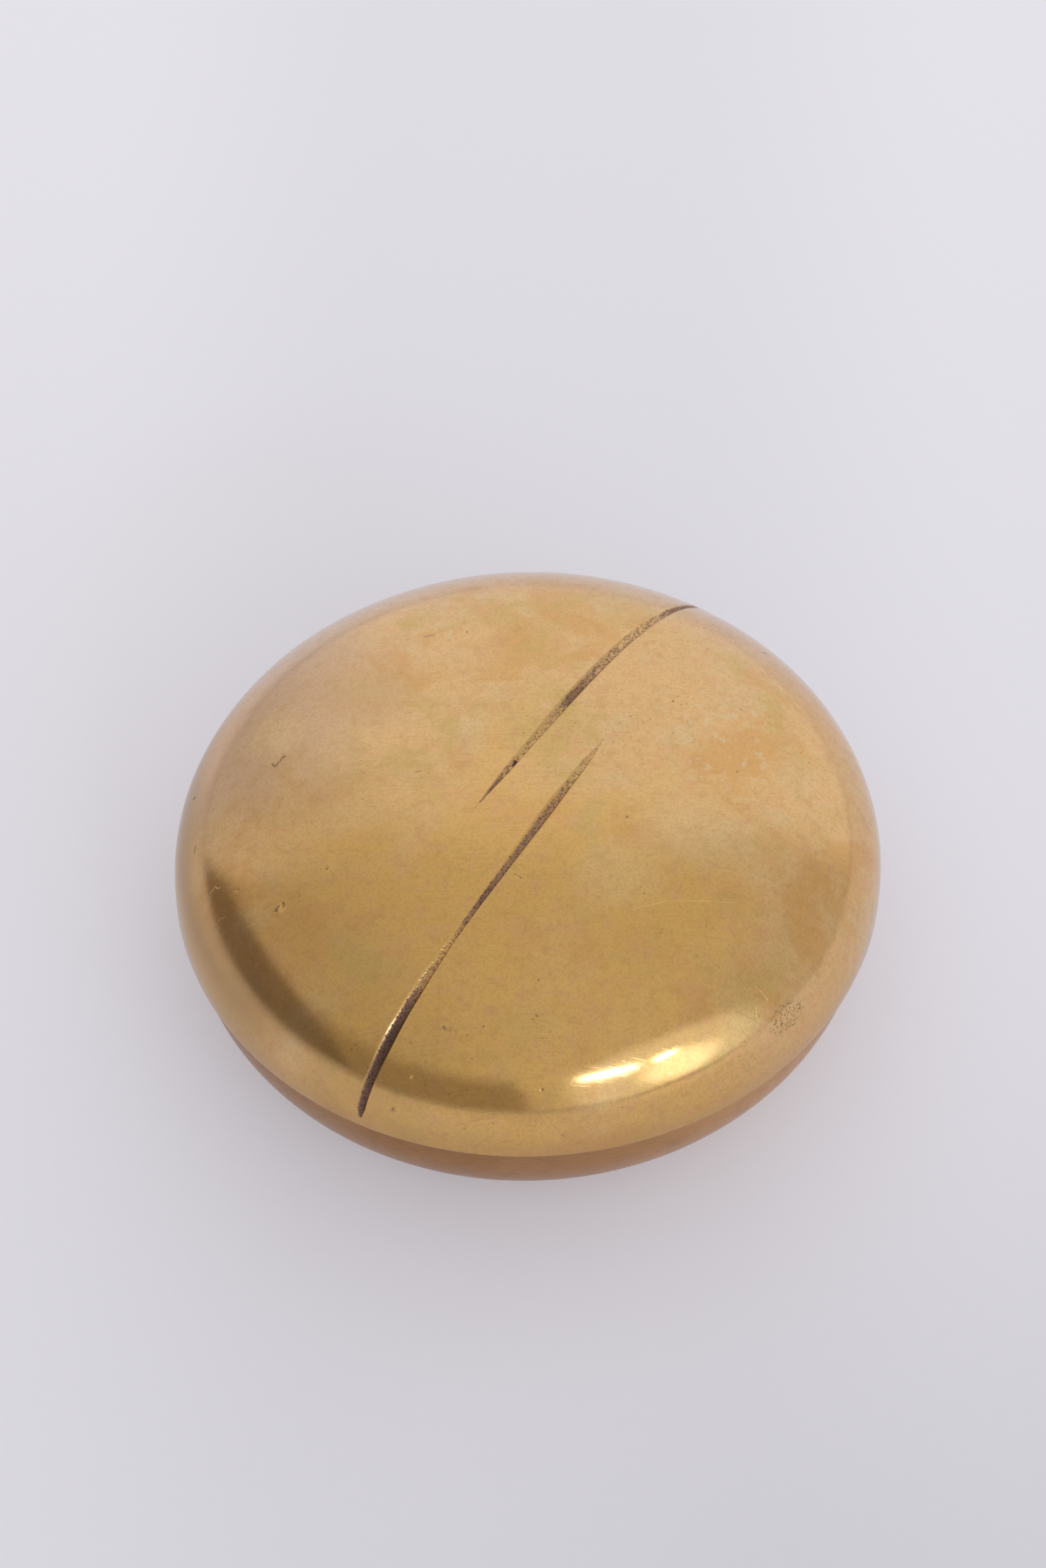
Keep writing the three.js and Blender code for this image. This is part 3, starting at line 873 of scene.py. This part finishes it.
def tarnish_and_painted_reflections(looks, drift, film):
    """Bright where the film is worn off, flushed and clouded round that, dull and brown low down, with
    painted reflections and a painted sheen on the rim.
    """
    gold = colour(0.81, 0.494, 0.161)
    rose = colour(0.84, 0.535, 0.243)
    pale = colour(0.80, 0.560, 0.280)
    orange = colour(0.77, 0.440, 0.160)
    olive = colour(0.71, 0.485, 0.175)
    rust = colour(0.80, 0.440, 0.210)
    painted_floor_reflection_mauve = colour(0.72, 0.475, 0.290)
    dull = colour(0.42, 0.270, 0.130)
    painted_sheen_lavender = colour(0.78, 0.610, 0.480)
    painted_floor_reflection_place = (-0.054, 0.022, 0.042)
    tint = looks.mix(film, gold, rose)
    bloom = looks.ramp(looks.noise(62, 5, 0.6, 0.5, shift=(3, 1, 0)), 0.46, 0.64)
    tint = looks.mix(looks.times(bloom, looks.ramp(film, 0, 1, 0.15, 0.8)), tint, pale)
    flush = looks.ramp(looks.noise(48, 4, 0.6, 0.6, shift=(0, 4, 9)), 0.50, 0.62, 0, 0.85)
    tint = looks.mix(flush, tint, orange)
    smudge = looks.ramp(looks.noise(70, 5, 0.6, 0.5, shift=(7, 0, 2)), 0.50, 0.68, 0, 0.8)
    tint = looks.mix(smudge, tint, olive)
    warmth = looks.ramp(looks.noise(330, 4, 0.65, 0.2, shift=(1, 6, 3)), 0.48, 0.66, 0, 0.5)
    tint = looks.mix(warmth, tint, rust)
    # Painted reflection: a pinkish tint on the left of the rim that stands for the pale floor mirrored there
    edge = looks.ramp(looks.math("ADD", looks.apart(painted_floor_reflection_place), drift), 0.010, 0.042, 0.9, 0)
    tint = looks.mix(edge, tint, painted_floor_reflection_mauve)
    for place, turn, halves, share, shade in CLOUDS:
        cover = looks.math("ADD", looks.reach(place, turn, halves), looks.times(drift, 9))
        tint = looks.mix(looks.ramp(cover, 0.3, 1.25, share, 0), tint, shade)
    # A dull band low on the left rim: partly tarnished brass, partly a painted dark reflection
    dull_belt_and_painted_reflection = looks.ramp(looks.math("ADD", looks.x, drift), -0.056, -0.012, 0.9, 0)
    dull_belt_and_painted_reflection = looks.times(dull_belt_and_painted_reflection, looks.ramp(looks.z, 0.031, 0.0395, 1, 0))
    dull_belt_and_painted_reflection = looks.times(dull_belt_and_painted_reflection, looks.ramp(looks.z, 0.026, 0.033, 0.6, 1))
    tint = looks.mix(dull_belt_and_painted_reflection, tint, dull)
    # Painted sheen: a pale bluish tint along the upper back rim
    back = looks.ramp(looks.y, 0.015, 0.050)
    back = looks.times(back, looks.ramp(looks.z, 0.038, 0.0478, 0.9, 0))
    tint = looks.mix(back, tint, painted_sheen_lavender)
    return looks.mix(looks.ramp(looks.z, 0.0225, 0.030, 0.4, 0), tint, LID_BROWN)


def freckled(looks, tint, grain, cluster):
    """A tint with a fine brown mottle, with pale flecks on the right and freckles in clusters."""
    straw = colour(0.76, 0.60, 0.36)
    fleck_place = (0.0355, 0.0095, 0.0485)
    mottle = looks.ramp(looks.noise(480, 3, 0.6, 0.3), 0.46, 0.70, 0, 0.22)
    tint = looks.mix(mottle, tint, LID_BROWN)
    tint = looks.mix(looks.ramp(grain, 0.42, 0.68, 0, 0.34), tint, LID_BROWN)
    fleck = looks.ramp(looks.noise(520, 2, 0.5, shift=(2, 2, 2)), 0.60, 0.66, 0, 0.6)
    fleck = looks.times(fleck, looks.ramp(looks.apart(fleck_place), 0.004, 0.020, 1, 0))
    tint = looks.mix(fleck, tint, straw)
    freckle = looks.times(looks.ramp(looks.spots(430), 0.06, 0.14, 0.8, 0), cluster)
    return looks.mix(freckle, tint, LID_BROWN)


def edge_stain(looks):
    """Share of a grainy stain by the lid's right edge."""
    middle = (0.0459, -0.0426, 0.0335)
    halves = (0.0070, 0.0030, 0.0040)
    smear = looks.ramp(looks.reach(middle, 38, halves), 0.35, 1.1, 1, 0)
    smear = looks.times(smear, looks.noise(900, 3, 0.6))
    grains = looks.ramp(looks.spots(2000), 0.22, 0.48, 1, 0)
    return looks.times(grains, looks.ramp(smear, 0.15, 0.42, 0, 0.75))


def polished_brass():
    """Tarnished and freckled, with painted reflections and sheen on the rim, a grey stain, dirt in the
    grooves and the marks, and hairlines.
    """
    looks = Looks("lid_brass", Specular_IOR_Level=0.15, Sheen_Weight=0.06, Sheen_Roughness=0.3)
    earth = colour(0.34, 0.190, 0.115)
    grime = colour(0.045, 0.025, 0.021)
    grey = colour(0.16, 0.115, 0.075)
    worn_place = (-0.006, -0.041, 0.045)
    cloud = looks.noise(38, 3, 0.5, 0.4)
    drift = looks.times(looks.math("SUBTRACT", cloud, 0.5), 0.07)
    film = looks.ramp(looks.math("ADD", looks.apart(worn_place), drift), 0.030, 0.059)
    grain = looks.noise(1900, 3, 0.65)
    cluster = looks.ramp(looks.noise(45, 2, 0.5, shift=(5, 5, 0)), 0.48, 0.66)
    tint = freckled(looks, tarnish_and_painted_reflections(looks, drift, film), grain, cluster)
    stain = edge_stain(looks)
    tint = looks.mix(stain, tint, grey)
    dark = looks.attribute("groove_dark")
    tint = looks.mix(looks.ramp(dark, 0, 0.5), tint, earth)
    tint = looks.mix(looks.ramp(dark, 0.45, 1), tint, grime)
    lines = hairlines(looks, 20, 0.012, 0.00018, 0.64, 0.74, 1)
    lines = looks.math("MAXIMUM", lines, hairlines(looks, -35, 0.016, 0.0002, 0.65, 0.75, 5))
    lines = looks.math("MAXIMUM", lines, hairlines(looks, 75, 0.010, 0.00018, 0.66, 0.75, 9))
    tint = looks.mix(looks.times(lines, looks.ramp(cluster, 0, 1, 0.04, 0.3)), tint, LID_BROWN)
    rough = looks.math("ADD", looks.ramp(film, 0, 1, 0.095, 0.15), looks.ramp(cloud, 0.3, 0.7, 0, 0.04))
    rough = looks.math("ADD", rough, looks.times(looks.math("MAXIMUM", dark, stain), 0.4))
    normal = looks.bump(lines, 0.14, 0.00002, looks.bump(grain, 0.10, 0.00005))
    metallic = looks.ramp(dark, 0.2, 1, 1, 0.15)
    looks.set(Base_Color=tint, Roughness=rough, Normal=normal, Metallic=metallic)
    return looks.material


def satin_brass():
    """Duller and redder than the lid, painted lighter on the right and darker on the left, with dirt and
    painted shade along the top edge, under the lid.
    """
    looks = Looks("base_brass", Metallic=1.0)
    red = colour(0.40, 0.202, 0.080)
    tan = colour(0.47, 0.248, 0.110)
    painted_light_warm = colour(0.68, 0.385, 0.165)
    dull = colour(0.44, 0.246, 0.122)
    pale = colour(0.62, 0.360, 0.190)
    brown = colour(0.26, 0.14, 0.065)
    umber = colour(0.30, 0.170, 0.095)
    dirt = colour(0.10, 0.06, 0.035)
    cloud = looks.noise(55, 4, 0.6, 0.5)
    tint = looks.mix(looks.ramp(cloud, 0.35, 0.65), red, tan)
    # Painted light: brighter on the right of the base; painted shade: duller on its left. Lighter towards
    # the bottom.
    tint = looks.mix(looks.ramp(looks.x, 0.000, 0.045, 0, 0.9), tint, painted_light_warm)
    tint = looks.mix(looks.ramp(looks.x, -0.046, -0.018, 0.8, 0), tint, dull)
    tint = looks.mix(looks.ramp(looks.z, 0.012, 0.021, 0.2, 0), tint, pale)
    grain = looks.noise(420, 4, 0.65, stretch=(1, 1, 9))
    tint = looks.mix(looks.ramp(grain, 0.45, 0.75, 0, 0.35), tint, brown)
    blotch = looks.ramp(looks.noise(210, 4, 0.65, 0.3), 0.46, 0.74, 0, 0.3)
    tint = looks.mix(blotch, tint, umber)
    # Dirt and painted shade along the top of the base, under the lid's edge
    seam_dirt_and_shade = looks.math("ADD", looks.z, looks.times(looks.noise(300, 3, 0.6), 0.0012))
    seam_dirt_and_shade = looks.ramp(seam_dirt_and_shade, BASE_HIGH.z - 0.0008, BASE_HIGH.z + 0.0004, 0, 0.9)
    tint = looks.mix(seam_dirt_and_shade, tint, dirt)
    rough = looks.ramp(grain, 0.3, 0.7, 0.27, 0.36)
    looks.set(Base_Color=tint, Roughness=rough, Normal=looks.bump(grain, 0.12, 0.00004))
    return looks.material


def collar_brass():
    """Drawn strip, with a fine grain round the ring."""
    looks = Looks("collar_brass", Metallic=1.0)
    dull = colour(0.68, 0.46, 0.19)
    bright = colour(0.80, 0.56, 0.26)
    grain = looks.noise(150, 4, 0.6, stretch=(1, 1, 30))
    tint = looks.mix(looks.ramp(grain, 0.3, 0.7), dull, bright)
    rough = looks.ramp(grain, 0.3, 0.7, 0.25, 0.36)
    looks.set(Base_Color=tint, Roughness=rough, Normal=looks.bump(grain, 0.15, 0.00003))
    return looks.material


def cast_skin():
    """Sandy and dark, as the inside of a casting is left."""
    looks = Looks("cast_brass")
    dark = colour(0.30, 0.19, 0.075)
    light = colour(0.38, 0.25, 0.11)
    pits = colour(0.10, 0.062, 0.03)
    sand = looks.noise(900, 5, 0.65)
    broad = looks.noise(60, 3, 0.6, 0.4)
    tint = looks.mix(looks.ramp(broad, 0.35, 0.65), dark, light)
    tint = looks.mix(looks.ramp(sand, 0.58, 0.75, 0, 0.7), tint, pits)
    rough = looks.ramp(sand, 0.3, 0.7, 0.42, 0.6)
    metallic = looks.ramp(broad, 0.3, 0.7, 0.8, 0.95)
    looks.set(Base_Color=tint, Roughness=rough, Metallic=metallic, Normal=looks.bump(sand, 0.5, 0.00012))
    return looks.material


def felt(name, deep, tip):
    """Pressed wool, from the colour deep in it to that of the fibres' tips."""
    looks = Looks(name, Roughness=0.95, Sheen_Weight=0.35, Sheen_Roughness=0.5)
    fibre = looks.noise(2600, 5, 0.7, 1.2)
    cloud = looks.noise(160, 4, 0.6, 0.4)
    shade = looks.times(fibre, looks.ramp(cloud, 0.3, 0.7, 0.85, 1.1))
    tint = looks.mix(looks.ramp(shade, 0.3, 0.7), deep, tip)
    looks.set(Base_Color=tint, Normal=looks.bump(fibre, 0.6, 0.0002))
    return looks.material


def pale_floor():
    """Matt board that takes the shadow, with a share of its own light that eyes and mirrors see, painted
    unevenly: brighter towards the back and fading far off, with a painted darker corner at the front right,
    painted light at left and right that thins the box's shadow, and in mirrors a painted window glow at the
    front right and painted shade on the left.
    """
    looks = Looks("floor", Roughness=0.9, Specular_IOR_Level=0.1)
    dark = colour(0.60, 0.590, 0.640)
    light = colour(0.62, 0.610, 0.660)
    glow = colour(1, 0.98, 1.045)
    painted_light_middle = (0, 0.7, 0)
    painted_glow_place = (0.45, -0.45, 0)
    cloud = looks.noise(260, 5, 0.7)
    looks.set(Base_Color=looks.mix(cloud, dark, light))
    rays = add_node(looks.tree, "ShaderNodeLightPath", {}).outputs
    seen = looks.math("MAXIMUM", rays["Is Camera Ray"], rays["Is Glossy Ray"])
    seen = looks.math("MAXIMUM", seen, rays["Is Transmission Ray"])
    # Painted light: brighter towards the back and fading far away
    level = looks.ramp(looks.y, -0.2, 0.3, 0.25, 0.34)
    level = looks.times(level, looks.ramp(looks.apart(painted_light_middle), 0.88, 1.4, 1, 0.12))
    # Painted shade in the front right corner and painted light at left and right, seen by eyes only
    corner = looks.ramp(looks.math("SUBTRACT", looks.x, looks.y), 0.08, 0.30, 0, 0.10)
    painted_side_light = looks.ramp(looks.math("ABSOLUTE", looks.x, 0), 0.03, 0.10, 0, 0.042)
    uneven = looks.math("SUBTRACT", corner, painted_side_light)
    level = looks.math("SUBTRACT", level, looks.times(uneven, rays["Is Camera Ray"]))
    # Painted reflections: a glow of window light at the front right and shade on the left, seen only in
    # mirrors
    painted_window_glow = looks.ramp(looks.apart(painted_glow_place), 0.2, 0.5, 0.2, 0)
    painted_room_shade = looks.ramp(looks.x, -0.36, -0.16, 0.12, 0)
    across = looks.math("SUBTRACT", painted_window_glow, painted_room_shade)
    level = looks.math("ADD", level, looks.times(across, rays["Is Glossy Ray"]))
    looks.shader.inputs["Emission Color"].default_value = glow
    looks.set(Emission_Strength=looks.times(seen, looks.math("MAXIMUM", level, 0)))
    return looks.material


# Stage

CAMERA_ELEVATION = math.radians(51.4)
CAMERA_TARGET = Vector((0, 0, 23.7 * MM))
CAMERA_DISTANCE = 723.65 * MM
IMAGE_WIDTH, IMAGE_HEIGHT = 1200, 1799
FOCAL_LENGTH_PX = 4500
TARGET_PX = (605.7, 987.7)
SENSOR = 36
CLIP_START = 0.05
FLOOR_SIZE = 12
FLOOR_DROP = 0.05 * MM

# Windows: azimuth and elevation in degrees, width and height in metres
DAYLIGHT = (0.86, 0.98, 1.28)
WINDOW_DISTANCE = 1.6
WINDOW_RADIANCE = 8
WINDOWS = {
    "window_left": (157, 26, 0.40, 0.13),
    "window_middle": (140, 25.5, 0.17, 0.11),
}


def aim(made, target, back, distance):
    """Puts an object at a distance from its target, the way that back says, and turns it to face it."""
    made.location = target + distance * back
    made.rotation_euler = (-back).to_track_quat("-Z", "Y").to_euler()


def add_camera():
    data = bpy.data.cameras.new("camera")
    data.sensor_width = SENSOR
    data.lens = SENSOR * FOCAL_LENGTH_PX / IMAGE_HEIGHT
    data.shift_x = (IMAGE_WIDTH / 2 - TARGET_PX[0]) / IMAGE_HEIGHT
    data.shift_y = (TARGET_PX[1] - IMAGE_HEIGHT / 2) / IMAGE_HEIGHT
    data.clip_start = CLIP_START
    camera = placed("camera", data)
    back = Vector((0, -math.cos(CAMERA_ELEVATION), math.sin(CAMERA_ELEVATION)))
    aim(camera, CAMERA_TARGET, back, CAMERA_DISTANCE)
    bpy.context.scene.camera = camera


def add_floor():
    half = FLOOR_SIZE / 2
    mesh = bpy.data.meshes.new("floor")
    plan = [(-half, -half), (half, -half), (half, half), (-half, half)]
    mesh.from_pydata([(x, y, -FLOOR_DROP) for x, y in plan], [], [(0, 1, 2, 3)])
    mesh.materials.append(pale_floor())
    floor = placed("floor", mesh)


def toward(azimuth, elevation):
    """Direction from azimuth, clockwise from +Y as seen from above, and elevation, in degrees."""
    a, e = math.radians(azimuth), math.radians(elevation)
    return Vector((math.sin(a) * math.cos(e), math.cos(a) * math.cos(e), math.sin(e)))


def add_window(name, azimuth, elevation, width, height):
    """A lamp that stands for a pane of daylight."""
    data = bpy.data.lights.new(name, "AREA")
    data.shape = "RECTANGLE"
    data.size = width
    data.size_y = height
    data.energy = WINDOW_RADIANCE * math.pi * width * height
    data.color = DAYLIGHT
    aim(placed(name, data), Vector(), toward(azimuth, elevation), WINDOW_DISTANCE)


def light_room():
    """A white sweep behind, a mild ceiling, a wall on the right, a bright window, a dim room on the left."""
    ceiling = colour(0.64, 0.625, 0.60)
    left_ceiling = colour(0.50, 0.48, 0.455)
    right_wall = colour(0.59, 0.58, 0.57)
    arch = colour(0.65, 0.63, 0.62)
    under_arch = colour(0.60, 0.59, 0.60)
    white_sweep = colour(0.84, 0.84, 0.885)
    window_glow = colour(0.93, 0.99, 1.12)
    low_pane = colour(1.85, 2.00, 2.40)
    dim_room = colour(0.35, 0.315, 0.29)
    dark_corner = colour(0.20, 0.172, 0.158)
    world = bpy.data.worlds.new("room")
    world.use_nodes = True
    bpy.context.scene.world = world
    room = Steps(world.node_tree, "Generated")

    def near(azimuth, elevation, far, close):
        """A round patch of the room about a direction: 0 from far degrees out, 1 within close ones."""
        inputs = {0: room.place, 1: toward(azimuth, elevation)}
        level = room.step("VectorMath", inputs, "Value", operation="DOT_PRODUCT")
        return room.ramp(level, math.cos(math.radians(far)), math.cos(math.radians(close)))

    light = room.mix(room.ramp(room.x, -0.7, 0.1), left_ceiling, ceiling)
    light = room.mix(room.ramp(room.x, 0.50, 0.80), light, right_wall)
    light = room.mix(near(-20, 5, 55, 49), light, arch)
    light = room.mix(near(-20, 5, 46, 40), light, under_arch)
    sweep = room.times(near(10, 0, 58, 50), room.ramp(room.x, -0.62, -0.22))
    light = room.mix(sweep, light, white_sweep)
    light = room.mix(near(140, 12, 32, 23), light, window_glow)
    light = room.mix(near(137, 13, 14, 5), light, low_pane)
    dim = room.times(near(-123, 0, 59, 55), room.ramp(room.z, 0.32, 0.58, 1, 0))
    light = room.mix(dim, light, dim_room)
    light = room.mix(near(-97, -8, 38, 32), light, dark_corner)
    room.tree.links.new(light, room.tree.nodes["Background"].inputs["Color"])


# Assembly

cast = cast_skin()
lid = build_lid(polished_brass(), cast)
base = build_base(satin_brass(), cast)
collar = build_collar(collar_brass())
green_felt = felt("foot_felt", colour(0.02, 0.03, 0.02), colour(0.06, 0.08, 0.055))
brown_felt = felt("lining_felt", colour(0.06, 0.03, 0.014), colour(0.17, 0.095, 0.05))
foot_felt = build_felt("foot_felt", FOOT_FELT_LOW, FOOT_FELT_HIGH, green_felt, 1)
lining = build_felt("lining", LINING_LOW, LINING_HIGH, brown_felt, 2)

for made, body, node, slot in (
    (lid, "lid", "lid_shell", "lid_brass"),
    (base, "base", "base_shell", "base_brass"),
    (collar, "base", "locating_collar", "collar_brass"),
    (foot_felt, "base", "base_felt", "foot_felt"),
    (lining, "base", "base_lining", "lining_felt"),
):
    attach(made, body)
    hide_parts(node)

add_camera()
add_floor()
light_room()
for name, facts in WINDOWS.items():
    add_window(name, *facts)

bpy.context.scene.view_settings.view_transform = "Standard"
